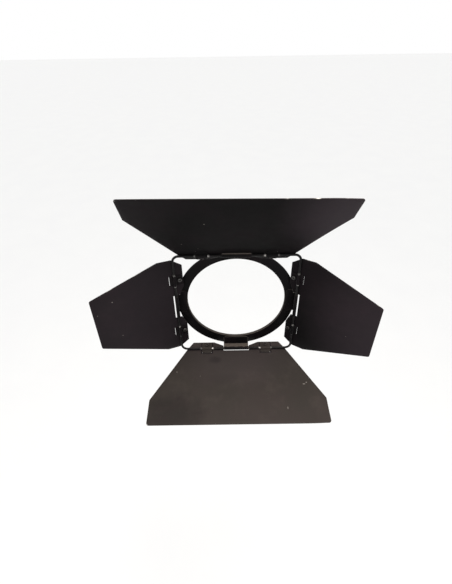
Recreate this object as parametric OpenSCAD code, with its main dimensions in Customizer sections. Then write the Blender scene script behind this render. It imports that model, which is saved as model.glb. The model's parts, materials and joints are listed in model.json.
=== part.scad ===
// Four-leaf barn door for a stage lantern: a sheet ring that drops into the lantern's
// accessory runners carries a square loop of steel rod on four straps, and a sheet
// leaf is clipped to each side of the loop with two saddle clips that grip the rod.
// Millimetres. Origin on the beam axis, in the ring's back face. The beam leaves
// along -Y, +Z is up and +X is to the right as seen from the front.

/* [Mounting ring] */
// Outside diameter of the ring
ring_od = 203.2; // [200:0.1:206]
// Diameter of the opening that the beam passes through
ring_id = 168.2; // [160:0.1:170]
// Thickness of the ring's sheet
ring_t = 1.5; // [1:0.1:2]
// How far the collar round the opening stands out behind the ring
collar_depth = 3.5; // [2:0.1:8]
// Wall of the collar
collar_t = 1.2; // [0.8:0.1:1.5]

/* [Hinge rod] */
// Side of the square loop, between centrelines
rod_span = 200; // [198:0.5:206]
// Diameter of the rod
rod_d = 4; // [3.6:0.1:4.2]
// Centreline radius of the loop's corners
rod_bend_r = 10; // [8:0.5:14]
// Distance from the ring's back face to the plane of the loop
rod_standoff = 17.5; // [17:0.5:24]
// Gap between the rod's two ends, inside the bottom strap
rod_end_gap = 0.6; // [0.2:0.1:1.5]

/* [Straps] */
// Length of a strap along the rod
strap_w = 45; // [30:0.5:45]
// Length of the bottom strap, which holds the rod's two ends
bottom_strap_w = 46; // [30:0.1:46]
// Thickness of a strap
strap_t = 1; // [0.8:0.1:1.4]
// Inside radius of the bend at the ring
strap_bend_r = 1.2; // [0.8:0.1:2]
// Depth of the foot that is spot welded to the front of the ring
strap_foot = 15.5; // [10:0.5:16]
// Diameter of the peep hole over the rod's ends
peep_d = 3; // [1.5:0.1:3.2]

/* [Large leaves] */
// Distance from the rod to the outer edge
large_reach = 143.5; // [120:0.5:160]
// Width at the rod
large_root_w = 178.5; // [176:0.5:186]
// Width at the outer edge
large_tip_w = 299; // [240:1:320]
// Distance from the rod at which the full width is reached
large_flare = 100; // [80:1:110]
// Width of each ear's straight edge, measured to its outer end from the middle
large_ear_end = 80; // [70:0.5:82]
// How far the notch of a large leaf reaches past the rod
large_notch = 3.3; // [3.3:0.1:9]

/* [Side leaves] */
// Distance from the rod to the outer edge
side_reach = 135; // [110:0.5:140]
// Width at the rod
side_root_w = 186; // [180:0.5:187]
// Width at the outer edge
side_tip_w = 99.4; // [90:0.2:105]
// Distance from the rod at which the taper starts
side_shoulder = 24.5; // [15:0.5:25]
// Distance of the outer end of each ear's straight edge from the middle
side_ear_end = 81; // [68:0.5:84]
// How far the notch of a side leaf reaches past the rod
side_notch = 4.6; // [3.3:0.1:9]
// How far the side leaves have slid down the rod, in the play of their notches
side_slide = 0.9; // [0:0.1:0.9]

/* [All leaves] */
// Thickness of the leaf's sheet
leaf_t = 1; // [0.8:0.1:1.2]
// Width of the notch that clears the strap
notch_w = 47; // [47:0.5:50]
// Radius of the notch's inner corners
notch_corner_r = 0.5; // [0.3:0.1:0.5]
// How far the ears reach past the rod on the inside
ear_depth = 14.7; // [12:0.1:14.8]
// Depth of an ear at the notch
ear_step = 7; // [5:0.5:10]
// Distance from the middle at which an ear has its full depth
ear_full = 41; // [36:0.5:43]
// Radius of the outer corners
leaf_corner_r = 4; // [2:0.5:8]
// Radius of the small corners
small_corner_r = 1.5; // [0.5:0.1:2]

/* [Leaf angles, 0 is flat out and 90 is straight ahead] */
// Top leaf
top_angle = 31.8; // [0:0.1:110]
// Right leaf
right_angle = 34; // [0:0.1:135]
// Bottom leaf
bottom_angle = 78.2; // [0:0.1:110]
// Left leaf
left_angle = 20.8; // [0:0.1:135]

/* [Clips] */
// Width of a clip along the rod
clip_w = 18.5; // [15:0.5:20]
// Thickness of a clip
clip_t = 1; // [0.8:0.1:1.1]
// Distance of a clip's middle from the leaf's middle
clip_offset = 54.3; // [50:0.1:58]
// How far a clip reaches over the ear
clip_tail = 14; // [13.5:0.1:14.5]
// Width of the tongue that hooks through the leaf
hook_w = 16.2; // [12:0.1:18]
// Distance from the rod to the tongue
clip_nose = 6.8; // [6.5:0.1:8]
// Length of the hook, which turns back towards the rod behind the leaf
hook_foot = 4.5; // [3:0.1:5]
// Width of the slot that the hook passes through
slot_w = 2.1; // [1.9:0.1:3.2]

/* [Fasteners] */
// Diameter of the screws
screw_d = 4; // [3.5:0.1:4]
// Distance of the screws from the rod
screw_offset = 8.5; // [8:0.1:9.5]
// Diameter of the screw heads
head_d = 7; // [6:0.1:8]
// Height of the screw heads
head_h = 2.4; // [2:0.1:3]
// Outside diameter of the washers
washer_d = 9; // [8:0.1:9]
// Thickness of the washers
washer_t = 0.8; // [0.5:0.1:1]
// Width across the flats of the nuts
nut_af = 7; // [6:0.1:8]
// Thickness of the nuts
nut_t = 3.2; // [2:0.1:3.5]

/* [Hidden] */

$fn = 96;
smooth = 192;               // segments of the ring
corner_steps = 8;           // segments of a rounded corner

// Turn about the beam axis that brings the top station to each side
turn_top = 0;
turn_right = 90;
turn_bottom = 180;
turn_left = 270;

rod_r = rod_d / 2;
rod_straight = rod_span - 2 * rod_bend_r;
strap_fit = 0.02;           // strap rolled tight on the rod
clip_fit = 0.05;            // running clearance of a clip on the rod
leaf_fit = 0.1;             // clearance of a leaf's face to the rod
hook_fit = 0.8;             // play of the hook behind the leaf
hole_fit = 0.15;            // play round a screw
thread_fit = 0.05;          // play between the plain shank and the nut
slot_fit = 0.3;             // play of a tongue at each end of its slot
cut = 1;                    // overrun of every cut

leaf_face = rod_r + leaf_fit;              // beam side of a leaf, behind the rod's axis
leaf_back = leaf_face + leaf_t;            // far side of a leaf
clip_r = rod_r + clip_fit;                 // inside of a clip's saddle
clip_face = leaf_face - clip_t;            // beam side of a clip's flat ends
hook_back = leaf_back + hook_fit + clip_t; // far side of a clip's hook
ring_front = rod_standoff - ring_t;        // ring's front face, behind the rod's axis
paint = [0.11, 0.105, 0.11];
worn_paint = [0.16, 0.15, 0.15];
plated = [0.45, 0.45, 0.47];

// ---- placing -------------------------------------------------------------------

// The children's X runs along the rod, +Z away from the beam and +Y to the lantern
module at_station(turn) {
    rotate([0, turn, 0]) translate([0, -rod_standoff, rod_span / 2]) children();
}

// The side leaves are both a little lower than the middle of their side
module on_leaf(turn, angle) {
    at_station(turn) rotate([angle, 0, 0]) translate([side_slide * sin(turn), 0, 0]) children();
}

// Draws a section in the (back, outwards) plane and runs it along the rod
module along_rod(length) {
    rotate([90, 0, 90]) linear_extrude(height = length, center = true) children();
}

module at_screws() {
    for (side = [-1, 1]) translate([side * clip_offset, 0, -screw_offset]) children();
}

// A round bar that points to the lantern, from one depth to another
module bar(r, from, to) {
    translate([0, from, 0]) rotate([-90, 0, 0]) cylinder(h = to - from, r = r);
}

// ---- rounded outlines ----------------------------------------------------------

function unit(v) = v / norm(v);

function heading(v) = atan2(v[1], v[0]);

function rounded_corner(before, at, after, r) =
    let (
        a = unit(before - at),
        b = unit(after - at),
        half = acos(a * b) / 2,
        centre = at + unit(a + b) * r / sin(half),
        start = heading(at + a * r / tan(half) - centre),
        turn = heading(at + b * r / tan(half) - centre) - start,
        sweep = turn > 180 ? turn - 360 : turn < -180 ? turn + 360 : turn
    )
    [for (i = [0 : corner_steps])
        centre + r * [cos(start + sweep * i / corner_steps), sin(start + sweep * i / corner_steps)]];

// Corners are [x, y, radius]
function rounded(corners) =
    let (n = len(corners), xy = [for (c = corners) [c[0], c[1]]])
    [for (i = [0 : n - 1]) each rounded_corner(xy[(i + n - 1) % n], xy[i], xy[(i + 1) % n], corners[i][2])];

function both_sides(half) =
    concat(half, [for (i = [len(half) - 1 : -1 : 0]) [-half[i][0], half[i][1], half[i][2]]]);

// From the notch round the ear
function ear_corners(ear_end, notch_depth) = [
    [notch_w / 2, notch_depth, notch_corner_r],
    [notch_w / 2, -ear_step, small_corner_r],
    [ear_full, -ear_depth, small_corner_r],
    [ear_end, -ear_depth, small_corner_r]
];

function large_outline() = rounded(both_sides(concat(ear_corners(large_ear_end, large_notch), [
    [large_root_w / 2, -rod_r, small_corner_r],
    [large_tip_w / 2, large_flare, leaf_corner_r],
    [large_tip_w / 2, large_reach, leaf_corner_r]
])));

function side_outline() = rounded(both_sides(concat(ear_corners(side_ear_end, side_notch), [
    [side_root_w / 2, rod_r, small_corner_r],
    [side_root_w / 2, side_shoulder, small_corner_r],
    [side_tip_w / 2, side_reach, leaf_corner_r]
])));

// ---- the frame -----------------------------------------------------------------

// Pressed sheet ring with a collar turned back round the opening
module mounting_ring() {
    color(paint) rotate([90, 0, 0]) difference() {
        union() {
            cylinder(h = ring_t, d = ring_od, $fn = smooth);
            translate([0, 0, -collar_depth])
                cylinder(h = collar_depth + ring_t, d = ring_id + 2 * collar_t, $fn = smooth);
        }
        translate([0, 0, -collar_depth - cut])
            cylinder(h = collar_depth + ring_t + 2 * cut, d = ring_id, $fn = smooth);
    }
}

// One length of rod bent into a square, its two ends meeting in the bottom strap
module hinge_rod() {
    color(worn_paint) {
        for (turn = [turn_top, turn_right, turn_left])
            at_station(turn) rotate([0, 90, 0]) cylinder(h = rod_straight, r = rod_r, center = true);
        at_station(turn_bottom) for (side = [-1, 1]) rotate([0, side * 90, 0])
            translate([0, 0, rod_end_gap / 2]) cylinder(h = (rod_straight - rod_end_gap) / 2, r = rod_r);
        for (turn = [turn_top, turn_right, turn_bottom, turn_left])
            at_station(turn) translate([rod_straight / 2, 0, -rod_bend_r])
                rotate([90, 0, 0]) rotate_extrude(angle = 90) translate([rod_bend_r, 0]) circle(r = rod_r);
    }
}

// Foot on the ring, bend, shelf out to the rod and three quarters of a turn round it
module strap_section() {
    roll_in = rod_r + strap_fit;
    roll_out = roll_in + strap_t;
    bend_out = strap_bend_r + strap_t;
    difference() {
        circle(r = roll_out);
        circle(r = roll_in);
        square(roll_out + cut);
        translate([0, -rod_r]) square(roll_out + cut);
    }
    translate([0, roll_in]) square([ring_front - bend_out, strap_t]);
    translate([ring_front - bend_out, roll_out - bend_out]) intersection() {
        difference() {
            circle(r = bend_out);
            circle(r = strap_bend_r);
        }
        square(bend_out);
    }
    translate([ring_front - strap_t, roll_out - bend_out - strap_foot]) square([strap_t, strap_foot]);
}

module strap(turn, length = strap_w) {
    color(paint) at_station(turn) along_rod(length) strap_section();
}

// The bottom strap has a peep hole over the joint of the rod
module strap_bottom() {
    color(paint) difference() {
        strap(turn_bottom, bottom_strap_w);
        at_station(turn_bottom) rotate([90, 0, 0]) cylinder(h = 2 * rod_d, d = peep_d);
    }
}

// ---- the leaves ----------------------------------------------------------------

// A flat blank, pierced for two tongues and two screws
module leaf(outline) {
    difference() {
        translate([0, leaf_back, 0]) rotate([90, 0, 0]) linear_extrude(height = leaf_t) polygon(outline);
        for (side = [-1, 1])
            translate([side * clip_offset - hook_w / 2 - slot_fit, leaf_face - cut, clip_nose - slot_fit])
                cube([hook_w + 2 * slot_fit, leaf_t + 2 * cut, slot_w]);
        at_screws() bar(screw_d / 2 + hole_fit, leaf_face - cut, leaf_back + cut);
    }
}

// Flat end with the screw, saddle over the rod and flat end
module clip_section() {
    saddle_out = clip_r + clip_t;
    difference() {
        union() {
            circle(r = saddle_out);
            translate([0, -saddle_out]) square([leaf_face, 2 * saddle_out]);
            translate([clip_face, -clip_tail]) square([clip_t, clip_tail + clip_nose + clip_t]);
        }
        circle(r = clip_r);
        translate([0, -clip_r]) square([saddle_out + cut, 2 * clip_r]);
        translate([leaf_face, -saddle_out - cut]) square(2 * (saddle_out + cut));
    }
}

// Narrower tongue that goes through the leaf and turns back behind it
module hook_section() {
    translate([clip_face, clip_nose]) square([hook_back - clip_face, clip_t]);
    translate([hook_back - clip_t, clip_nose + clip_t - hook_foot]) square([clip_t, hook_foot]);
}

module clip(side) {
    difference() {
        translate([side * clip_offset, 0, 0]) {
            along_rod(clip_w) clip_section();
            along_rod(hook_w) hook_section();
        }
        at_screws() bar(screw_d / 2 + hole_fit, clip_face - cut, leaf_face + cut);
    }
}

// Pan head with a cross recess, on the beam side of the clip
module screw() {
    recess_w = 1.1;
    recess_l = 4;
    recess_h = 1.3;
    dome_r = (head_d * head_d / 4 + head_h * head_h) / (2 * head_h) + 0.6;
    shank_end = leaf_back + washer_t + nut_t + 1;
    bar(screw_d / 2 - thread_fit, clip_face - thread_fit, shank_end);
    difference() {
        intersection() {
            bar(head_d / 2, clip_face - head_h, clip_face);
            translate([0, clip_face - head_h + dome_r, 0]) sphere(r = dome_r);
        }
        translate([0, clip_face - head_h, 0]) for (turn = [0, 90]) rotate([0, turn, 0])
            cube([recess_l, 2 * recess_h, recess_w], center = true);
    }
}

module screws(turn, angle) {
    color(plated) on_leaf(turn, angle) at_screws() screw();
}

module washers(turn, angle) {
    color(plated) on_leaf(turn, angle) at_screws() difference() {
        bar(washer_d / 2, leaf_back, leaf_back + washer_t);
        bar(screw_d / 2 + hole_fit, leaf_back - cut, leaf_back + washer_t + cut);
    }
}

module nuts(turn, angle) {
    seat = leaf_back + washer_t;
    color(plated) on_leaf(turn, angle) at_screws() difference() {
        translate([0, seat, 0]) rotate([-90, 0, 0]) cylinder(h = nut_t, d = nut_af / cos(30), $fn = 6);
        bar(screw_d / 2, seat - cut, seat + nut_t + cut);
    }
}

mounting_ring();
hinge_rod();
strap(turn_top);  // strap_top
strap(turn_right);  // strap_right
strap_bottom();
strap(turn_left);  // strap_left

color(paint) on_leaf(turn_top, top_angle) leaf(large_outline());  // leaf_top
color(paint) on_leaf(turn_top, top_angle) clip(-1);  // clip_top_a
color(paint) on_leaf(turn_top, top_angle) clip(1);  // clip_top_b
screws(turn_top, top_angle);  // screws_top
washers(turn_top, top_angle);  // washers_top
nuts(turn_top, top_angle);  // nuts_top

color(paint) on_leaf(turn_right, right_angle) leaf(side_outline());  // leaf_right
color(paint) on_leaf(turn_right, right_angle) clip(-1);  // clip_right_a
color(paint) on_leaf(turn_right, right_angle) clip(1);  // clip_right_b
screws(turn_right, right_angle);  // screws_right
washers(turn_right, right_angle);  // washers_right
nuts(turn_right, right_angle);  // nuts_right

color(paint) on_leaf(turn_bottom, bottom_angle) leaf(large_outline());  // leaf_bottom
color(paint) on_leaf(turn_bottom, bottom_angle) clip(-1);  // clip_bottom_a
color(paint) on_leaf(turn_bottom, bottom_angle) clip(1);  // clip_bottom_b
screws(turn_bottom, bottom_angle);  // screws_bottom
washers(turn_bottom, bottom_angle);  // washers_bottom
nuts(turn_bottom, bottom_angle);  // nuts_bottom

color(paint) on_leaf(turn_left, left_angle) leaf(side_outline());  // leaf_left
color(paint) on_leaf(turn_left, left_angle) clip(-1);  // clip_left_a
color(paint) on_leaf(turn_left, left_angle) clip(1);  // clip_left_b
screws(turn_left, left_angle);  // screws_left
washers(turn_left, left_angle);  // washers_left
nuts(turn_left, left_angle);  // nuts_left
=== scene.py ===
import json
import math

import bmesh
import bpy
from mathutils import Matrix, Vector
from mathutils.bvhtree import BVHTree


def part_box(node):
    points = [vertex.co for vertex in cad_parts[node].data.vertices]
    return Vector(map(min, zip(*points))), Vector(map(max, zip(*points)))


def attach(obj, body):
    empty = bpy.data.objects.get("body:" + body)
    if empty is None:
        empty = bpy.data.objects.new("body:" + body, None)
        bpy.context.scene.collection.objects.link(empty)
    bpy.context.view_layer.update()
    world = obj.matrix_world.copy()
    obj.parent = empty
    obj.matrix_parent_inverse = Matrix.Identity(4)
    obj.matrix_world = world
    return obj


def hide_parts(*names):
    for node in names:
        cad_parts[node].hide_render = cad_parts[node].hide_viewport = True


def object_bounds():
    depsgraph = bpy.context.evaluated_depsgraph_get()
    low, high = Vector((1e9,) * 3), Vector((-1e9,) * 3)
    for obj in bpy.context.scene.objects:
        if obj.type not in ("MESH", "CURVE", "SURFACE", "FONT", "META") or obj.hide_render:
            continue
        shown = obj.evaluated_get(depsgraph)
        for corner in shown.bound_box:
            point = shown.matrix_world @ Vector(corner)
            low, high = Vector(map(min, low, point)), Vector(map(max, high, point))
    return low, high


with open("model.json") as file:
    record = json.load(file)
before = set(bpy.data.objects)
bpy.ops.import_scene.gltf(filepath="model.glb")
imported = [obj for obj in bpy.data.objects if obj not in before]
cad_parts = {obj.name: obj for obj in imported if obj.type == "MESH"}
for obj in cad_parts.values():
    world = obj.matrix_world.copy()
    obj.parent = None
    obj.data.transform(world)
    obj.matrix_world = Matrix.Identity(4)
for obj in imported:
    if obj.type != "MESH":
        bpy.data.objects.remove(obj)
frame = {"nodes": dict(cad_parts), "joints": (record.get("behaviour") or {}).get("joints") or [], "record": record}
cad_low, cad_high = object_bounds()


# --- Mounting ring --------------------------------------------------------------------------
# A flat ring pressed from 1.5 mm steel sheet, with a collar turned back round the opening for
# the beam. It is sprayed matt black, and its rim is what stands in the lantern's runners.

MM = 0.001
MOUNTS = {mount["name"]: mount for mount in frame["record"]["mounts"]}
RIM_R = MOUNTS["ring_rim"]["dims"]["r_mm"] * MM
BEAM_R = MOUNTS["beam_opening"]["dims"]["r_mm"] * MM
RING_T = MOUNTS["ring_rim"]["dims"]["length_mm"] * MM
COLLAR_DEPTH = MOUNTS["beam_opening"]["dims"]["length_mm"] * MM - RING_T
COLLAR_T = 1.2 * MM
COLLAR_EDGE = 0.6 * MM
RING_STEPS = 240
RING_EASE = 0.35 * MM
SHARP_EDGE = math.radians(50)
SMOOTH_BELOW = math.radians(35)


def begin(name):
    """Names the primitive that was just added, puts its place in its mesh and opens it."""
    bpy.ops.object.transform_apply(location=True, rotation=True, scale=True)
    piece = bpy.context.object
    piece.name = piece.data.name = name
    bpy.ops.object.mode_set(mode="EDIT")
    bpy.ops.mesh.select_mode(type="VERT")
    bpy.ops.mesh.select_all(action="SELECT")
    return piece


def select(piece, kind, test):
    """Selects the edges or faces whose middle and normal pass a test."""
    bpy.ops.mesh.select_all(action="DESELECT")
    bpy.ops.mesh.select_mode(type=kind)
    mesh = bmesh.from_edit_mesh(piece.data)
    if kind == "FACE":
        found = [f for f in mesh.faces if test(f.calc_center_median(), f.normal)]
    else:
        middles = ((e, (e.verts[0].co + e.verts[1].co) / 2, e.verts[0].normal) for e in mesh.edges)
        found = [e for e, middle, normal in middles if test(middle, normal)]
    for element in found:
        element.select_set(True)
    mesh.select_flush_mode()
    bmesh.update_edit_mesh(piece.data)


def tidy(piece):
    """Closes the open ends of the mesh in edit mode, turns its faces outwards and leaves it."""
    bpy.ops.mesh.select_all(action="SELECT")
    bpy.ops.mesh.remove_doubles(threshold=0.001 * MM)
    bpy.ops.mesh.fill_holes(sides=0)
    bpy.ops.mesh.normals_make_consistent(inside=False)
    bpy.ops.object.mode_set(mode="OBJECT")


def modify(piece, kind, **settings):
    """Gives a piece a modifier with these settings and applies it."""
    modifier = piece.modifiers.new(kind.title(), kind)
    for name, value in settings.items():
        setattr(modifier, name, value)
    bpy.context.view_layer.objects.active = piece
    bpy.ops.object.modifier_apply(modifier=modifier.name)


def soften(piece, width, segments=2):
    """Rounds the sharp edges, as paint and handling do, and smooths what is left."""
    modify(piece, "BEVEL", width=width, segments=segments, limit_method="ANGLE",
           angle_limit=SHARP_EDGE, use_clamp_overlap=True)
    bpy.ops.object.select_all(action="DESELECT")
    piece.select_set(True)
    bpy.ops.object.shade_smooth_by_angle(angle=SMOOTH_BELOW)


def radius_from_beam(place):
    return math.hypot(place.x, place.z)


def fit(piece, finish, slot, body, *nodes):
    """Gives a finished piece its material and its body, and hides the CAD nodes that it stands for."""
    piece.data.materials.clear()
    piece.data.materials.append(finish)
    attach(piece, body)
    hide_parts(*nodes)


bpy.ops.object.select_all(action="DESELECT")
bpy.ops.mesh.primitive_cylinder_add(vertices=RING_STEPS, radius=RIM_R, depth=RING_T,
                                    location=(0, -RING_T / 2, 0), rotation=(math.pi / 2, 0, 0))
ring = begin("ring_pressing")
select(ring, "FACE", lambda place, normal: abs(normal.y) > 0.9)
for step in (RIM_R - BEAM_R - COLLAR_T, COLLAR_T):
    bpy.ops.mesh.inset(thickness=step, use_individual=True)
bpy.ops.mesh.bridge_edge_loops()
select(ring, "FACE", lambda place, normal: normal.y > 0.9 and radius_from_beam(place) < BEAM_R + COLLAR_T)
bpy.ops.mesh.extrude_region_move(TRANSFORM_OT_translate={"value": (0, COLLAR_DEPTH, 0)})
tidy(ring)
soften(ring, RING_EASE, 3)


class Wire:
    """One output of a material's node. Arithmetic on it adds Math nodes."""

    def __init__(self, finish, socket):
        self.finish = finish
        self.socket = socket

    def math(self, operation, *values):
        values = (self, *values)
        return self.finish.add("Math", {"operation": operation}, dict(enumerate(values)))

    def __add__(self, other):
        return self.math("ADD", other)

    def __sub__(self, other):
        return self.math("SUBTRACT", other)

    def __mul__(self, other):
        return self.math("MULTIPLY", other)

    def __rsub__(self, other):
        return self.math("MULTIPLY", -1.0).math("ADD", other)

    def __neg__(self):
        return self.math("MULTIPLY", -1.0)

    __radd__ = __add__
    __rmul__ = __mul__

    def size(self):
        return self.math("ABSOLUTE")

    def least(self, other):
        return self.math("MINIMUM", other)

    def most(self, other):
        return self.math("MAXIMUM", other)

    def rise(self, low, high):
        """0 below low, 1 above high and a smooth rise between. With low above high it falls."""
        return self.finish.add("MapRange", {"interpolation_type": "SMOOTHSTEP"},
                               {"Value": self, "From Min": low, "From Max": high})


class Finish:
    """A material built of nodes, ending in one painted or metal surface."""

    def __init__(self, name):
        self.material = bpy.data.materials.new(name)
        self.material.use_nodes = True
        self.tree = self.material.node_tree
        self.tree.nodes.clear()

    def add(self, kind, settings=(), inputs=(), output=0):
        node = self.tree.nodes.new("ShaderNode" + kind)
        for name, value in dict(settings).items():
            setattr(node, name, value)
        for name, value in dict(inputs).items():
            if isinstance(value, Wire):
                self.tree.links.new(value.socket, node.inputs[name])
            else:
                node.inputs[name].default_value = value
        return Wire(self, node.outputs[output])

    def place(self):
        return self.add("TexCoord", output="Object")

    def own(self, name):
        """The piece's own attribute of that name, as (vector, number)."""
        node = self.add("Attribute", {"attribute_name": name}).socket.node
        return Wire(self, node.outputs["Vector"]), Wire(self, node.outputs["Fac"])

    def parts(self, vector):
        node = self.add("SeparateXYZ", inputs={"Vector": vector}).socket.node
        return [Wire(self, socket) for socket in node.outputs]

    def stretched(self, vector, scale, turn=(0, 0, 0)):
        turned = self.add("Mapping", {"vector_type": "POINT"}, {"Vector": vector, "Rotation": turn})
        return self.add("Mapping", {"vector_type": "POINT"}, {"Vector": turned, "Scale": scale})

    def noise(self, vector, scale, seed, detail=2.0, rough=0.5):
        return self.add("TexNoise", {"noise_dimensions": "4D"},
                        {"Vector": vector, "W": seed, "Scale": scale, "Detail": detail, "Roughness": rough})

    def cells(self, vector, scale):
        """Distance from the nearest of the scattered points, and that point's own colour."""
        settings = {"feature": "F1", "voronoi_dimensions": "3D"}
        node = self.add("TexVoronoi", settings, {"Vector": vector, "Scale": scale}).socket.node
        return Wire(self, node.outputs["Distance"]), Wire(self, node.outputs["Color"])

    def blend(self, share, first, second):
        """A colour between two, by a share from 0 to 1."""
        first, second = ((*c, 1) if isinstance(c, tuple) else c for c in (first, second))
        return self.add("Mix", {"data_type": "RGBA"}, {0: share, 6: first, 7: second}, output=2)

    def bumps(self, height, distance):
        return self.add("Bump", inputs={"Height": height, "Distance": distance, "Strength": 1.0})

    def surface(self, **inputs):
        """Ends the material in one surface with these inputs and gives the material."""
        shader = self.add("BsdfPrincipled", inputs={k.replace("_", " "): v for k, v in inputs.items()})
        output = self.tree.nodes.new("ShaderNodeOutputMaterial")
        self.tree.links.new(shader.socket, output.inputs["Surface"])
        return self.material


BARE_STEEL = (0.36, 0.35, 0.33)
CHARCOAL = (0.0046, 0.0042, 0.0044)
PLUM = (0.0078, 0.0052, 0.0064)
# Painted sheen: a lighter plum for patches where a light's sheen is painted on the leaves.
PAINTED_SHEEN_TINT = (0.032, 0.0235, 0.0285)
# Dust, and also the colour of the painted highlight along the top strap's roll.
DUST_AND_HIGHLIGHT = (0.180, 0.150, 0.128)
SPECK = (0.26, 0.24, 0.22)
SCRATCH = (0.15, 0.14, 0.13)
RUBBED = (0.050, 0.046, 0.045)
SHEEN = 0.075
PAINT_GRAIN = 0.022 * MM
BARE_BAND = 0.42 * MM
RUBBED_BAND = 2.5 * MM
SCRATCH_TURNS = (0.35, -1.1, 1.25)


def black_paint(finish, where, edge, chips=0.5, dust=0.4, settled_dust_and_highlight=0.0, gloss=0.5, tone=1.0, seed=0.0,
                smudge_and_shade=None, marks=None, painted_sheen=None):
    """Sprayed matt black: where is the place in metres, edge the distance from a sheared edge.

    Shares from 0 to 1: chips along the edges, dust in patches and specks, settled dust all over
    (on the top strap only a painted highlight along its roll), smudges wiped clean of dust (real
    smudges, and painted shade under the rod and along the clips), marks of pale dirt, and painted
    sheen: lighter plum patches that stand for a light's sheen.
    """
    cloud = finish.noise(where, 11, seed, 3, 0.55)
    mottle = finish.noise(where, 75, seed + 1, 3, 0.6)
    grain = finish.noise(where, 2600, seed + 2, 2, 0.6)
    peel = finish.noise(where, 520, seed + 3, 2, 0.5)
    plum_share = (cloud * 0.75 + mottle * 0.25).rise(0.42, 0.62)
    paint = finish.blend(plum_share, tuple(c * tone for c in CHARCOAL), tuple(c * tone for c in PLUM))

    # Painted sheen: lighter plum patches that stand for a light's sheen on the leaves.
    if painted_sheen is not None:
        paint = finish.blend(painted_sheen * (0.85 + mottle * 0.3), paint, PAINTED_SHEEN_TINT)

    # Settled dust and handling marks, in soft patches. The same film, in the dust colour, is the painted highlight
    # along the top strap's roll; where it is wiped off, real smudges and painted shade show darker.
    patch = finish.noise(where, 24, seed + 4, 4, 0.65).rise(0.48, 0.72)
    fine_dust = finish.noise(where, 1400, seed + 5, 2, 0.7).rise(0.45, 0.75)
    film = patch * (0.35 + fine_dust * 0.65) * dust * 0.05 + (0.86 + patch * 0.16 + fine_dust * 0.1) * settled_dust_and_highlight
    # Wiping the dust off darkens the paint: real smudges, and painted shade under the rod and beside the clips.
    if smudge_and_shade is not None:
        film = film * (1.0 - smudge_and_shade)
    paint = finish.blend(film, paint, DUST_AND_HIGHLIGHT)

    # Pale specks, a few to each hand's breadth
    spot, spot_colour = finish.cells(where, 85)
    chosen = finish.parts(spot_colour)[0].rise(0.90, 0.93)
    speck = spot.rise(0.055, 0.025) * chosen * dust
    if marks is not None:
        speck = speck.most(marks)
    paint = finish.blend(speck.least(0.8), paint, SPECK)

    # Hairline scratches in three directions
    hairs = None
    for shift, turn in enumerate(SCRATCH_TURNS, 6):
        line = finish.noise(finish.stretched(where, (22, 22, 1900), (0, turn, 0)), 1, seed + shift, 1, 0.4)
        gate = finish.noise(where, 28, seed + shift + 0.5, 2, 0.5).rise(0.52, 0.66)
        hair = line.rise(0.725, 0.765) * gate
        hairs = hair if hairs is None else hairs.most(hair)
    paint = finish.blend(hairs * (0.06 + 0.16 * dust), paint, SCRATCH)

    # Chips down to bare steel along the edges, and a rubbed band just inside them
    ragged = finish.noise(where, 260, seed + 9, 4, 0.65)
    run = finish.noise(where, 45, seed + 10, 2, 0.5)
    reach = ragged * MM * chips + run.rise(0.5, 0.72) * 0.6 * MM * chips
    bare = (edge - reach + BARE_BAND).rise(0.10 * MM, -0.12 * MM)
    rubbed = edge.rise(RUBBED_BAND, 0.0) * ragged.rise(0.40, 0.68) * chips
    paint = finish.blend(rubbed * 0.35, paint, RUBBED)
    colour = finish.blend(bare, paint, BARE_STEEL)

    roughness = gloss + (mottle - 0.5) * 0.22 + film * 0.5 + (grain - 0.5) * 0.08 - rubbed * 0.12
    height = grain * 0.35 + peel - bare * 4.0 - hairs * 0.8
    return finish.surface(Base_Color=colour, Metallic=bare * 0.9, Roughness=roughness.least(0.85).most(0.18),
                          Specular_IOR_Level=SHEEN, Normal=finish.bumps(height, PAINT_GRAIN))


ring_finish = Finish("ring_black")
ring_place = ring_finish.place()
ring_x, _, ring_z = ring_finish.parts(ring_place)
ring_radius = (ring_x * ring_x + ring_z * ring_z).math("SQRT")
ring_edge = (RIM_R - ring_radius).least(ring_radius - BEAM_R + COLLAR_EDGE).most(0.0)
ring_wall = ring_radius.rise(BEAM_R + COLLAR_EDGE, BEAM_R + COLLAR_EDGE / 2)
ring_paint = black_paint(ring_finish, ring_place, ring_edge, chips=0.42, dust=0.25, settled_dust_and_highlight=ring_wall * 0.3,
                         gloss=0.46, tone=0.6)
fit(ring, ring_paint, "ring_paint", "frame", "mounting_ring")


# --- Hinge rod ------------------------------------------------------------------------------
# One length of 4 mm drawn steel rod, bent round into a square and painted. Its ends meet in
# the bottom strap. The clips rub it down to bright steel where they turn and slide.

HINGES = {joint["name"].removesuffix("_hinge"): joint for joint in frame["joints"]}
ROD_Y = HINGES["top"]["pos_m"][1]
ROD_REACH = HINGES["top"]["pos_m"][2]
ROD_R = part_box("hinge_rod")[1].y - ROD_Y
ROD_BEND_R = 10 * MM
ROD_GAP = 0.6 * MM
ROD_STEPS = 32
STEPS_IN_90 = 10
ROD_EASE = 0.25 * MM
CLIP_MIDDLE = (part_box("clip_top_b")[0].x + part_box("clip_top_b")[1].x) / 2
CLIP_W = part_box("clip_top_b")[1].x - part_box("clip_top_b")[0].x


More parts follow.
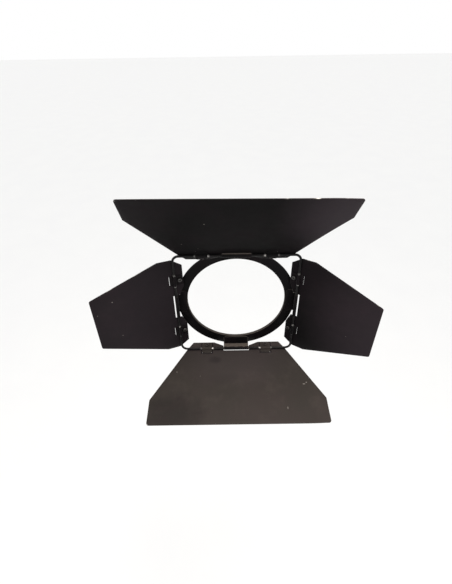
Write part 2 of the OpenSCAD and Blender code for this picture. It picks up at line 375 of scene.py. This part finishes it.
def draw_out(place, heading, axis, moves):
    """Carries the selected outline forward: ("go", length), or ("turn", radius, degrees)."""
    place, heading = Vector(place), Vector(heading)
    for kind, amount, *angle in moves:
        if kind == "go":
            bpy.ops.mesh.extrude_region_move(TRANSFORM_OT_translate={"value": heading * amount})
            place = place + heading * amount
            continue
        turn = math.radians(angle[0])
        turned = Matrix.Rotation(turn, 3, axis)
        sideways = Matrix.Rotation(math.copysign(math.pi / 2, turn), 3, axis) @ heading
        centre = place + sideways * amount
        steps = max(2, round(abs(angle[0]) / 90 * STEPS_IN_90))
        for _ in range(steps):
            bpy.ops.mesh.extrude_region_move()
            bpy.ops.transform.rotate(value=-turn / steps, orient_axis=axis, center_override=centre)
        place = centre + turned @ (place - centre)
        heading = turned @ heading


bpy.ops.object.select_all(action="DESELECT")
bpy.ops.mesh.primitive_circle_add(vertices=ROD_STEPS, radius=ROD_R, fill_type="NOTHING",
                                  location=(ROD_GAP / 2, ROD_Y, -ROD_REACH), rotation=(0, math.pi / 2, 0))
rod = begin("rod_loop")
half_side = ("go", ROD_REACH - ROD_BEND_R - ROD_GAP / 2)
full_side = ("go", 2 * (ROD_REACH - ROD_BEND_R))
corner = ("turn", ROD_BEND_R, -90)
draw_out((ROD_GAP / 2, ROD_Y, -ROD_REACH), (1, 0, 0), "Y",
         [half_side, corner, full_side, corner, full_side, corner, full_side, corner, half_side])
tidy(rod)
soften(rod, ROD_EASE)

ROD_DARK = (0.004, 0.0038, 0.004)
ROD_GREY = (0.011, 0.0095, 0.0095)
BRIGHT_STEEL = (0.46, 0.44, 0.42)
ROD_SHEEN = 0.15
ROD_GRAIN = 0.03 * MM

rod_finish = Finish("rod_worn")
rod_place = rod_finish.place()
rod_x, _, rod_z = rod_finish.parts(rod_place)
along = rod_x.size().least(rod_z.size())
from_clip = (along - CLIP_MIDDLE).size() - CLIP_W / 2
fray = rod_finish.noise(rod_place, 330, 2.0, 4, 0.65)
sweep = rod_finish.noise(rod_place, 42, 3.0, 2, 0.5)
inner = along.rise(CLIP_MIDDLE, CLIP_MIDDLE - MM) * 0.75 + 0.25
rub = from_clip.rise(4.2 * MM, 0.8 * MM) * (fray * 0.6 + sweep * 0.9).rise(0.46, 0.74) * inner
nicks = rod_finish.noise(rod_place, 190, 4.0, 5, 0.7).rise(0.66, 0.74) * 0.5
bright = rub.most(nicks)
rings = rod_finish.noise(rod_finish.stretched(rod_place, (900, 240, 900)), 1, 5.0, 2, 0.5)
rod_tone = rod_finish.noise(rod_place, 60, 6.0, 3, 0.6).rise(0.35, 0.7)
rod_black = rod_finish.blend(rod_tone, ROD_DARK, ROD_GREY)
rod_colour = rod_finish.blend(bright, rod_black, BRIGHT_STEEL)
rod_paint = rod_finish.surface(
    Base_Color=rod_colour, Metallic=bright * 0.95,
    Roughness=0.42 + (rings - 0.5) * 0.25 - bright * 0.12, Specular_IOR_Level=ROD_SHEEN,
    Normal=rod_finish.bumps(rings * 0.6 + fray * 0.5 - bright * 1.5, ROD_GRAIN))
fit(rod, rod_paint, "rod_paint", "frame", "hinge_rod")


# --- Straps ---------------------------------------------------------------------------------
# Four short strips of 1 mm steel. Each has a foot spot welded to the front of the ring, a
# shelf that carries the rod clear of it, and an end rolled round the rod. The bottom one is a
# little wider, with a small hole in the front of its roll, where the rod's ends meet.

STRAP_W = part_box("strap_top")[1].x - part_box("strap_top")[0].x
BOTTOM_STRAP_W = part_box("strap_bottom")[1].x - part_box("strap_bottom")[0].x
STRAP_T = 1 * MM
STRAP_BEND_R = 1.7 * MM
STRAP_FOOT = 15.5 * MM
STRAP_CHAMFER = 2.2 * MM
STRAP_EASE = 0.18 * MM
ROLL_R = ROD_R + 0.02 * MM + STRAP_T / 2
ROLL_TURN = 268
RING_FRONT = -RING_T - ROD_Y
PEEP_R = 1.5 * MM
WELD_DISH_R = 8 * MM
WELD_DEPTH = 0.25 * MM
WELDS = (-14 * MM, 0, 14 * MM)


def strip_end(name, width, thickness, back, out):
    """The cut end of a flat strip, as an open outline in edit mode, about to be drawn outwards."""
    bpy.ops.object.select_all(action="DESELECT")
    bpy.ops.mesh.primitive_plane_add(size=1, location=(0, back, out))
    bpy.ops.transform.resize(value=(width, thickness, 1))
    strip = begin(name)
    bpy.ops.mesh.delete(type="ONLY_FACE")
    bpy.ops.mesh.select_all(action="SELECT")
    return strip


def widen(width, new_width):
    """Changes the width of the outline just drawn, for a chamfered corner or a shoulder."""
    bpy.ops.transform.resize(value=(new_width / width, 1, 1))


def cut(piece, cutter, operation="DIFFERENCE"):
    """Cuts a piece with another mesh, which is then gone."""
    bpy.ops.object.mode_set(mode="OBJECT")
    modify(piece, "BOOLEAN", object=cutter, operation=operation, solver="EXACT")
    bpy.data.objects.remove(cutter)


def lay_cylinder(steps, radius, depth, back, out):
    """Adds a cylinder whose axis runs from front to back."""
    bpy.ops.object.select_all(action="DESELECT")
    bpy.ops.mesh.primitive_cylinder_add(vertices=steps, radius=radius, depth=depth,
                                        location=(0, back, out), rotation=(math.pi / 2, 0, 0))


def drill(piece, radius, out, from_back, to_back, steps=32):
    lay_cylinder(steps, radius, to_back - from_back, (from_back + to_back) / 2, out)
    cut(piece, bpy.context.object)


def flat_places(piece):
    """Keeps each point's place on the flat, unplaced piece, for patterns that follow it."""
    kept = piece.data.attributes.new("flat", "FLOAT_VECTOR", "POINT")
    kept.data.foreach_set("vector", [number for v in piece.data.vertices for number in v.co])


def station(side):
    """From a hinge's own axes (along the rod, back, outwards) to the frame's."""
    x, _, z = HINGES[side]["pos_m"]
    return Matrix.Rotation(math.atan2(x, z), 4, "Y") @ Matrix.Translation((0, ROD_Y, ROD_REACH))


def copy_to(pattern, name, place):
    """A copy with a mesh of its own, with its place in its mesh."""
    piece = bpy.data.objects.new(name, pattern.data.copy())
    bpy.context.scene.collection.objects.link(piece)
    piece.data.transform(place)
    return piece


foot_top = ROLL_R - STRAP_BEND_R
foot_place = Vector((0, RING_FRONT - STRAP_T / 2, foot_top - STRAP_FOOT))
strap = strip_end("strap_pattern", STRAP_W - 2 * STRAP_CHAMFER, STRAP_T, foot_place.y, foot_place.z)
draw_out(foot_place, (0, 0, 1), "X", [("go", STRAP_CHAMFER)])
widen(STRAP_W - 2 * STRAP_CHAMFER, STRAP_W)
draw_out(foot_place + Vector((0, 0, STRAP_CHAMFER)), (0, 0, 1), "X",
         [("go", STRAP_FOOT - STRAP_CHAMFER), ("turn", STRAP_BEND_R, 90),
          ("go", foot_place.y - STRAP_BEND_R), ("turn", ROLL_R, ROLL_TURN)])
tidy(strap)
for weld in WELDS:
    dish_place = (weld, RING_FRONT - STRAP_T - WELD_DISH_R + WELD_DEPTH, foot_top - STRAP_FOOT / 2)
    bpy.ops.mesh.primitive_uv_sphere_add(segments=48, ring_count=24, radius=WELD_DISH_R, location=dish_place)
    cut(strap, bpy.context.object)
soften(strap, STRAP_EASE)


def strap_paint(name, inner_dust, crest_highlight, end_dust):
    """Black paint for a strap, with so much dust inside its shelf, so much painted highlight along the front of
    its roll's crest (in the dust colour) and so much dust on its ends.
    """
    finish = Finish(name)
    flat, _ = finish.own("flat")
    x, y, z = finish.parts(flat)
    edge = (STRAP_W / 2 - x.size()).least(z - foot_place.z).most(0.0)
    shelf = y.rise(1.5 * MM, 2.5 * MM) * y.rise(foot_place.y - 0.6 * MM, foot_place.y - 1.6 * MM)
    inside = shelf * z.rise(ROLL_R, ROLL_R - 0.4 * MM)
    # Painted highlight: a thin pale line along the front of the roll's crest.
    crest_line = y.rise(-2.4 * MM, -0.6 * MM) * z.rise(ROLL_R, ROLL_R + 0.35 * MM)
    ends = edge.rise(0.45 * MM, 0.15 * MM)
    settled_dust_and_highlight = (inside * inner_dust).most(crest_line * crest_highlight).most(ends * end_dust)
    return black_paint(finish, finish.place(), edge, chips=0.35, dust=0.35, settled_dust_and_highlight=settled_dust_and_highlight, gloss=0.48,
                       tone=0.8, seed=11)


# On the top strap the pale line along its roll is a painted highlight.
STRAP_PAINTS = {"top": strap_paint("strap_highlit_crest", 0.0, 0.45, 0.0),
                "right": strap_paint("strap_black", 0.0, 0.0, 0.16),
                "bottom": strap_paint("strap_dusty_inside", 0.72, 0.0, 0.4)}
STRAP_PAINTS["left"] = STRAP_PAINTS["right"]

for side in HINGES:
    piece = copy_to(strap, f"{side}_strap_rolled", Matrix.Identity(4))
    if side == "bottom":
        piece.data.transform(Matrix.Diagonal((BOTTOM_STRAP_W / STRAP_W, 1, 1, 1)))
        drill(piece, PEEP_R, 0, -3 * ROD_R, -ROD_R, 24)
    flat_places(piece)
    piece.data.transform(station(side))
    fit(piece, STRAP_PAINTS[side], "strap_paint", "frame", f"strap_{side}")
bpy.data.objects.remove(strap)


# --- Leaves ---------------------------------------------------------------------------------
# Four blanks sheared from 1 mm steel sheet and sprayed matt black on both sides. Years of use
# have warped them a little, bent a few corners and chipped the paint off the sheared edges.

SIDE_SLIDE = {"top": 0, "right": 0.9 * MM, "bottom": 0, "left": -0.9 * MM}
SHEET_EASE = 0.12 * MM
GRID = 7 * MM
STIFF = 24 * MM
WARP = {"top": 0.35 * MM, "right": 0.4 * MM, "bottom": 0.5 * MM, "left": 0.4 * MM}
TWIST = {"top": 1.6 * MM, "right": 0, "bottom": 0.3 * MM, "left": 0}
BENT_CORNERS = {"top": [(1, 0.8 * MM)], "right": [(-1, 0.8 * MM)], "bottom": [(-1, 0.9 * MM)],
                "left": [(1, 2.4 * MM), (-1, 0.7 * MM)]}
BEND_REACH = 34 * MM
PULL_IN = 0.27
EDGE_LIMIT = 14 * MM
LEAF_SMOOTH_BELOW = math.radians(24)
CLIP_EDGE = 8 * MM


def hinge_place(side):
    """From a leaf's own axes (along the rod, back, outwards) to the frame's, turned and slid."""
    leaf_angle = -HINGES[side]["range_deg"][0]
    slid = Matrix.Translation((SIDE_SLIDE[side], 0, 0))
    return station(side) @ Matrix.Rotation(math.radians(leaf_angle), 4, "X") @ slid


def smooth_step(value, low, high):
    share = min(1, max(0, (value - low) / (high - low)))
    return share * share * (3 - 2 * share)


def warp(place, side, half_width, reach):
    """How far a point of a leaf has been pushed towards the beam, none near the hinge."""
    across, out = place.x / half_width, place.z / reach
    free = smooth_step(place.z, STIFF, reach)
    push = WARP[side] * (0.8 * across * across + 0.45 * math.sin(2.3 * across + 1.1) - 0.7 * out * across)
    push = abs(push) + TWIST[side] * (1 + across) * out
    for end, depth in BENT_CORNERS[side]:
        corner = Vector((end * half_width, 0, reach))
        push += depth * smooth_step((place - corner).length, BEND_REACH, 0)
    return free * push


def sheet_leaf(side):
    """A leaf on its own axes, with eased edges and a grid of cuts that lets it be warped."""
    source = frame["nodes"][f"leaf_{side}"]
    piece = bpy.data.objects.new(f"{side}_leaf_sheet", source.data.copy())
    bpy.context.scene.collection.objects.link(piece)
    piece.data.transform(hinge_place(side).inverted())
    bpy.ops.object.select_all(action="DESELECT")
    bpy.context.view_layer.objects.active = piece
    piece.select_set(True)
    bpy.ops.object.mode_set(mode="EDIT")
    bpy.ops.mesh.select_mode(type="EDGE")
    bpy.ops.mesh.select_all(action="SELECT")
    bpy.ops.mesh.remove_doubles(threshold=0.002 * MM)
    bpy.ops.mesh.dissolve_limited(angle_limit=math.radians(0.5))
    bpy.ops.mesh.select_all(action="DESELECT")
    bpy.ops.mesh.edges_select_sharp(sharpness=math.radians(60))
    bpy.ops.mesh.bevel(offset=SHEET_EASE, segments=2, affect="EDGES", clamp_overlap=True)
    corners = [v.co for v in bmesh.from_edit_mesh(piece.data).verts]
    tip, reach = max(v.x for v in corners), max(v.z for v in corners)
    root = min(v.z for v in corners)
    for count, first, normal in ((int(2 * tip / GRID), -tip, (1, 0, 0)),
                                 (int((reach - root) / GRID), root, (0, 0, 1))):
        for line in range(1, count + 1):
            bpy.ops.mesh.select_all(action="SELECT")
            offset = first + line * GRID
            bpy.ops.mesh.bisect(plane_co=[offset * n for n in normal], plane_no=normal)
    bpy.ops.object.mode_set(mode="OBJECT")
    return piece, tip, reach


def edge_distances(piece):
    """Keeps each point's distance from the nearest sheared edge of the sheet."""
    mesh = piece.data
    rim = [tuple(face.vertices) for face in mesh.polygons if abs(face.normal.y) < 0.5]
    tree = BVHTree.FromPolygons([v.co for v in mesh.vertices], rim)
    kept = mesh.attributes.new("edge", "FLOAT", "POINT")
    for vertex in mesh.vertices:
        found = tree.find_nearest(vertex.co)[3]
        kept.data[vertex.index].value = min(EDGE_LIMIT, found)


def blots(finish, flat, places, ragged):
    """Soft-edged spots on the flat leaf, in mm: (along, out, half width, half height, strength)."""
    x, _, z = finish.parts(flat)
    rough = (finish.noise(flat, 70, 20, 3, 0.6) - 0.5) * ragged
    cover = None
    for along, out, wide, tall, strength in places:
        away = ((x - along * MM) * (1 / wide / MM)).math("POWER", 2)
        away = away + ((z - out * MM) * (1 / tall / MM)).math("POWER", 2) + rough
        spot = away.rise(1.3, 0.0) * strength
        cover = spot if cover is None else cover.most(spot)
    return cover


# Each leaf's looks. The lower tones of the top leaf, and a little of the right one, are painted shade: the same
# black made darker where those leaves lie in shade.
LEAF_LOOKS = {
    "top": {"tone": 0.75, "dust": 0.3, "settled_dust_and_highlight": 0.0, "smudges": [(-60, 35, 20, 12, 0.4)],
            # These patches are painted sheen, lighter where a light's sheen is painted on each leaf.
            "painted_sheen": [(175, 100, 120, 110, 0.82)],
            "specks": [(-44.8, 87.6, 0.9, 0.9, 1), (-81, 34, 0.7, 0.7, 0.8), (-58, 20, 0.6, 0.6, 0.7)]},
    "right": {"tone": 0.95, "dust": 0.3, "settled_dust_and_highlight": 0.0, "smudges": [(15, 40, 34, 30, 0.3)],
              "painted_sheen": [(0, 165, 130, 150, 0.6)],
              "specks": [(26, 92, 0.6, 0.6, 0.6), (-24.3, -6.2, 0.8, 0.8, 1)]},
    "bottom": {"tone": 1.0, "dust": 0.6, "settled_dust_and_highlight": 0.155,
               "smudges": [(39, 23, 13, 8, 0.45), (112, 128, 62, 44, 0.45), (25, 62, 30, 12, 0.12)],
               "painted_sheen": [(0, 20, 110, 60, 0.3)],
               "specks": [(107, 47.2, 0.9, 0.9, 1), (-82.4, 117, 0.8, 2.5, 0.6), (-115.5, 74, 2.6, 0.8, 0.9),
                          (-120, 71, 1.2, 0.9, 1), (65, 56, 0.6, 0.6, 0.6)]},
    "left": {"tone": 1.0, "dust": 0.4, "settled_dust_and_highlight": 0.0, "smudges": [(-20, 40, 24, 18, 0.3)],
             "painted_sheen": [(0, 55, 130, 110, 0.42)],
             "specks": [(39.7, 101.6, 0.9, 0.9, 1), (-32, 97.5, 0.8, 0.8, 0.7), (20, 128, 0.7, 0.7, 0.7),
                        (24.3, -6.2, 0.8, 0.8, 1)]}}


def painted_shade_lines(finish, flat):
    """Painted shade: a band under the rod and a line along the sides of each clip, where their shadows fall, drawn
    by wiping the dust off there.
    """
    x, _, z = finish.parts(flat)
    past_clip = (x.size() - CLIP_MIDDLE).size() - CLIP_W / 2
    past_nose = z.most(-z - 6 * MM) - CLIP_EDGE
    around = past_clip.most(past_nose)
    line = around.rise(-0.3 * MM, 0.1 * MM) * around.rise(2.2 * MM, 1.4 * MM)
    under_rod = z.size().rise(3.4 * MM, 2.6 * MM)
    return line.most(under_rod * 0.85)


def leaf_paint(side, seed):
    looks = LEAF_LOOKS[side]
    finish = Finish(f"{side}_leaf_black")
    flat, _ = finish.own("flat")
    _, edge = finish.own("edge")
    # Real smudges, and the painted shade of the rod and the clips.
    smudge_and_shade = blots(finish, flat, looks["smudges"], 1.4).most(painted_shade_lines(finish, flat))
    marks = blots(finish, flat, looks["specks"], 0.6)
    painted_sheen = blots(finish, flat, looks["painted_sheen"], 0.3)
    return black_paint(finish, flat, edge, chips=0.5, dust=looks["dust"], settled_dust_and_highlight=looks["settled_dust_and_highlight"],
                       gloss=0.52, tone=looks["tone"], seed=seed, smudge_and_shade=smudge_and_shade, marks=marks, painted_sheen=painted_sheen)


for number, side in enumerate(HINGES):
    leaf, leaf_tip, leaf_reach = sheet_leaf(side)
    flat_places(leaf)
    edge_distances(leaf)
    for vertex in leaf.data.vertices:
        push = warp(vertex.co, side, leaf_tip, leaf_reach)
        vertex.co += Vector((0, -push, -push * PULL_IN))
    leaf.data.transform(hinge_place(side))
    bpy.ops.object.shade_smooth_by_angle(angle=LEAF_SMOOTH_BELOW)
    fit(leaf, leaf_paint(side, 30 + 7 * number), "leaf_paint", f"{side}_leaf", f"leaf_{side}")


# --- Clips ----------------------------------------------------------------------------------
# Eight strips of 1 mm spring steel, two to a leaf. Each is screwed to the leaf's ear at one
# end, arches over the rod to grip it, and ends in a narrower tongue that passes through a
# slot in the leaf and turns back behind it.

LEAF_T = 1 * MM
CLIP_T = 1 * MM
CLIP_BEND_R = 0.95 * MM
HOOK_BEND_R = 0.62 * MM
HOOK_W = 16.2 * MM
CLIP_TAIL = 14 * MM
CLIP_NOSE = 6.8 * MM
CLIP_CHAMFER = 1.2 * MM
CLIP_EASE = 0.16 * MM
HOOK_FOOT = 4.5 * MM
LEAF_FACE = ROD_R + 0.1 * MM
SADDLE_R = ROD_R + 0.05 * MM + CLIP_T / 2
HOOK_PLAY = 0.8 * MM
SCREW_OUT = -8.5 * MM
SCREW_R = 1.95 * MM
HOLE_R = 2.15 * MM

pad_back = LEAF_FACE - CLIP_T / 2
foot_back = LEAF_FACE + LEAF_T + HOOK_PLAY + CLIP_T / 2
wall = pad_back - CLIP_BEND_R
nose = CLIP_NOSE + CLIP_T / 2 - HOOK_BEND_R
clip = strip_end("clip_pattern", CLIP_W - 2 * CLIP_CHAMFER, CLIP_T, pad_back, -CLIP_TAIL)
tail_place = Vector((0, pad_back, -CLIP_TAIL))
draw_out(tail_place, (0, 0, 1), "X", [("go", CLIP_CHAMFER)])
widen(CLIP_W - 2 * CLIP_CHAMFER, CLIP_W)
draw_out(tail_place + Vector((0, 0, CLIP_CHAMFER)), (0, 0, 1), "X", [
    ("go", CLIP_TAIL - CLIP_CHAMFER - SADDLE_R - CLIP_BEND_R), ("turn", CLIP_BEND_R, 90), ("go", wall),
    ("turn", SADDLE_R, -180), ("go", wall), ("turn", CLIP_BEND_R, 90),
    ("go", nose - SADDLE_R - CLIP_BEND_R)])
bpy.ops.mesh.extrude_region_move()
widen(CLIP_W, HOOK_W)
draw_out((0, pad_back, nose), (0, 0, 1), "X", [
    ("turn", HOOK_BEND_R, -90), ("go", foot_back - pad_back - 2 * HOOK_BEND_R), ("turn", HOOK_BEND_R, -90),
    ("go", HOOK_FOOT - CLIP_T / 2 - HOOK_BEND_R)])
tidy(clip)
drill(clip, HOLE_R, SCREW_OUT, 0, 2 * LEAF_FACE)
soften(clip, CLIP_EASE)
flat_places(clip)


def clip_paint(side):
    """The leaf's own black in the leaf's tone, darker on the top leaf as painted shade, and a little more of the
    dust that lies on it.
    """
    looks = LEAF_LOOKS[side]
    finish = Finish(f"{side}_clip_black")
    x, _, z = finish.parts(finish.own("flat")[0])
    edge = (CLIP_W / 2 - x.size()).least(z + CLIP_TAIL).most(0.0)
    return black_paint(finish, finish.place(), edge, chips=0.3, dust=0.4, settled_dust_and_highlight=looks["settled_dust_and_highlight"] * 1.25,
                       gloss=0.5, tone=looks["tone"], seed=70)


for side in HINGES:
    finish = clip_paint(side)
    for end, letter in ((-1, "a"), (1, "b")):
        place = hinge_place(side) @ Matrix.Translation((end * CLIP_MIDDLE, 0, 0))
        piece = copy_to(clip, f"{side}_clip_{letter}_folded", place)
        fit(piece, finish, "clip_paint", f"{side}_leaf", f"clip_{side}_{letter}")
bpy.data.objects.remove(clip)


# --- Screws, washers and nuts ---------------------------------------------------------------
# An M4 pan head screw holds each clip, with a plain washer and a nut on the leaf's far side.
# They are zinc plated steel that has gone dull, with more or less black overspray on them.

HEAD_R = 3.5 * MM
HEAD_H = 2.4 * MM
HEAD_CROWN = 1.3 * MM
RECESS_L = 4.0 * MM
RECESS_W = 1.0 * MM
RECESS_DEPTH = 1.5 * MM
RECESS_TURN = 0.4
SCREW_EASE = 0.1 * MM
WASHER_R = 4.5 * MM
WASHER_T = 0.8 * MM
WASHER_EASE = 0.15 * MM
NUT_FLATS = 7 * MM
NUT_CORNER_R = NUT_FLATS / math.sqrt(3)
NUT_T = 3.2 * MM
NUT_CHAMFER = 0.42 * MM
NUT_EASE = 0.08 * MM
THREAD_PITCH = 0.7 * MM
THREAD_ROOT = 0.84
THREADS = 6

pad_face = LEAF_FACE - CLIP_T
leaf_back = LEAF_FACE + LEAF_T
nut_seat = leaf_back + WASHER_T
screw_end = nut_seat + NUT_T + 1 * MM

lay_cylinder(40, HEAD_R, HEAD_H, pad_face - HEAD_H / 2, SCREW_OUT)
screw = begin("screw_pattern")
select(screw, "FACE", lambda place, normal: normal.y > 0.9)
bpy.ops.mesh.inset(thickness=HEAD_R - SCREW_R)
plain = screw_end - pad_face - THREADS * THREAD_PITCH
bpy.ops.mesh.extrude_region_move(TRANSFORM_OT_translate={"value": (0, plain, 0)})
for _ in range(THREADS):
    for scale in (THREAD_ROOT, 1 / THREAD_ROOT):
        bpy.ops.mesh.extrude_region_move(TRANSFORM_OT_translate={"value": (0, THREAD_PITCH / 2, 0)})
        bpy.ops.transform.resize(value=(scale, 1, scale))
select(screw, "EDGE", lambda place, normal: place.y < pad_face - HEAD_H * 0.98)
bpy.ops.mesh.bevel(offset=HEAD_CROWN, segments=6, affect="EDGES", profile=0.62)
bpy.ops.mesh.select_mode(type="VERT")
tidy(screw)
for turn in (0, math.pi / 2):
    bpy.ops.object.select_all(action="DESELECT")
    bpy.ops.mesh.primitive_cube_add(size=1, location=(0, pad_face - HEAD_H, SCREW_OUT),
                                    rotation=(0, turn + RECESS_TURN, 0))
    recess = bpy.context.object
    bpy.ops.transform.resize(value=(RECESS_L, 2 * RECESS_DEPTH, RECESS_W), orient_type="LOCAL")
    cut(screw, recess)
soften(screw, SCREW_EASE)

lay_cylinder(48, WASHER_R, WASHER_T, leaf_back + WASHER_T / 2, SCREW_OUT)
washer = begin("washer_pattern")
select(washer, "FACE", lambda place, normal: abs(normal.y) > 0.9)
bpy.ops.mesh.inset(thickness=WASHER_R - HOLE_R, use_individual=True)
bpy.ops.mesh.bridge_edge_loops()
tidy(washer)
soften(washer, WASHER_EASE)

lay_cylinder(6, NUT_CORNER_R, NUT_T, nut_seat + NUT_T / 2, SCREW_OUT)
nut = begin("nut_pattern")
tidy(nut)
lay_cylinder(72, NUT_CORNER_R + 0.02 * MM, NUT_T, nut_seat + NUT_T / 2, SCREW_OUT)
turned = begin("nut_turning")
tidy(turned)
modify(turned, "BEVEL", width=NUT_CHAMFER, segments=1, limit_method="ANGLE", angle_limit=SHARP_EDGE)
cut(nut, turned, "INTERSECT")
drill(nut, SCREW_R + 0.04 * MM, SCREW_OUT, nut_seat - MM, nut_seat + NUT_T + MM)
soften(nut, NUT_EASE, 1)

ZINC_DARK = (0.075, 0.072, 0.070)
ZINC_LIGHT = (0.15, 0.145, 0.14)
GRIME = (0.04, 0.033, 0.028)
# Painted shade for the cross recess of the screws.
PAINTED_RECESS_SHADE = (0.004, 0.0035, 0.003)
ZINC_SHEEN = 0.2
ZINC_GRAIN = 0.02 * MM


def zinc_paint(name, painted, dust):
    """Dull zinc plating, with so much black overspray and dust on it, and painted shade darkening its cross
    recess.
    """
    finish = Finish(name)
    place = finish.place()
    bloom = finish.noise(place, 420, 90.0, 4, 0.6)
    grime = finish.noise(place, 130, 91.0, 3, 0.6).rise(0.45, 0.68)
    tool_marks = finish.noise(place, 2100, 92.0, 2, 0.6)
    spray = (finish.noise(place, 300, 93.0, 3, 0.6) + painted).rise(0.62, 0.76)
    x, y, z = finish.parts(finish.own("flat")[0])
    from_axis = (x * x + (z - SCREW_OUT) * (z - SCREW_OUT)).math("SQRT")
    below_crown = y.rise(pad_face - HEAD_H + 0.25 * MM, pad_face - HEAD_H + 0.6 * MM)
    recess = from_axis.rise(2.3 * MM, 1.9 * MM) * below_crown * y.rise(pad_face, pad_face - 0.2 * MM)
    zinc = finish.blend(bloom.rise(0.35, 0.7), ZINC_DARK, ZINC_LIGHT)
    zinc = finish.blend(grime * 0.7, zinc, GRIME)
    zinc = finish.blend(spray * 0.95, zinc, PLUM)
    zinc = finish.blend(bloom * dust, zinc, DUST_AND_HIGHLIGHT)
    # Painted shade: the screw's cross recess darkened to near black.
    zinc = finish.blend(recess * 0.9, zinc, PAINTED_RECESS_SHADE)
    return finish.surface(
        Base_Color=zinc, Metallic=(1.0 - grime * 0.3) * (1.0 - spray * 0.95),
        Roughness=0.38 + grime * 0.2 + (tool_marks - 0.5) * 0.15 + spray * 0.15,
        Specular_IOR_Level=ZINC_SHEEN, Normal=finish.bumps(tool_marks * 0.5 + bloom * 0.5, ZINC_GRAIN))


painted_zinc = zinc_paint("painted_zinc", 0.35, 0.08)
bare_zinc = zinc_paint("dull_zinc", 0.08, 0.0)
ZINC_PAINTS = {"top": painted_zinc, "right": bare_zinc, "bottom": zinc_paint("dusty_zinc", 0.35, 0.3),
               "left": bare_zinc}

for pattern in (screw, washer, nut):
    flat_places(pattern)
for side in HINGES:
    for end, letter in ((-1, "a"), (1, "b")):
        for pattern, kind in ((screw, "screw"), (washer, "washer"), (nut, "nut")):
            place = hinge_place(side) @ Matrix.Translation((end * CLIP_MIDDLE, 0, 0))
            piece = copy_to(pattern, f"{side}_{kind}_{letter}", place)
            fit(piece, ZINC_PAINTS[side], "screw_steel", f"{side}_leaf", f"{kind}s_{side}")
for pattern in (screw, washer, nut):
    bpy.data.objects.remove(pattern)


# --- Studio ---------------------------------------------------------------------------------
# A pale floor well below the part, which is held up by its ring, in an evenly white room. A
# broad soft light hangs overhead, and the camera looks down from in front.

FLOOR_DROP = 1.5
FLOOR_SIZE = 60
FLOOR_WHITES = (0.90, 0.90, 0.90), (0.94, 0.94, 0.93)
SOFTBOX_PLACE = Vector((0.12, -0.22, 0.95))
SOFTBOX_AIM = Vector((0, -0.08, 0))
SOFTBOX_SIZE = 0.5
SOFTBOX_POWER = 13
SOFTBOX_WARMTH = (1, 0.93, 0.86)

bpy.ops.object.select_all(action="DESELECT")
bpy.ops.mesh.primitive_plane_add(size=FLOOR_SIZE, location=(0, 0, cad_low.z - FLOOR_DROP))
floor = bpy.context.object
floor.name = "studio_floor"
floor_finish = Finish("floor_pale")
floor_tone = floor_finish.noise(floor_finish.place(), 3, 1.0, 3, 0.5)
floor.data.materials.append(floor_finish.surface(
    Base_Color=floor_finish.blend(floor_tone, *FLOOR_WHITES), Roughness=0.8))

bpy.ops.object.light_add(type="AREA", location=SOFTBOX_PLACE)
softbox = bpy.context.object
softbox.name = "overhead_softbox"
softbox.data.size = SOFTBOX_SIZE
softbox.data.energy = SOFTBOX_POWER
softbox.data.color = SOFTBOX_WARMTH
softbox.rotation_euler = (SOFTBOX_AIM - SOFTBOX_PLACE).to_track_quat("-Z", "Y").to_euler()

world = bpy.data.worlds.new("studio")
world.use_nodes = True
world.node_tree.nodes["Background"].inputs["Color"].default_value = (1, 1, 1, 1)
world.node_tree.nodes["Background"].inputs["Strength"].default_value = 1.0
bpy.context.scene.world = world
bpy.context.scene.view_settings.view_transform = "Standard"

EYE = Vector((-16.6 * MM, ROD_Y - 485.8 * MM, 390.6 * MM))
EYE_PITCH, EYE_ROLL, EYE_YAW = (math.radians(a) for a in (-36.55, 0.92, 0.08))
EYE_LENS = 22.55
bpy.ops.object.camera_add()
camera = bpy.context.object
camera.data.lens = EYE_LENS
camera.data.sensor_width = 36
camera.data.clip_start = 0.01
camera.matrix_world = (Matrix.Translation(EYE) @ Matrix.Rotation(EYE_YAW, 4, "Z")
                       @ Matrix.Rotation(EYE_PITCH, 4, "X") @ Matrix.Rotation(EYE_ROLL, 4, "Y")
                       @ Matrix.Rotation(math.pi / 2, 4, "X"))
bpy.context.scene.camera = camera
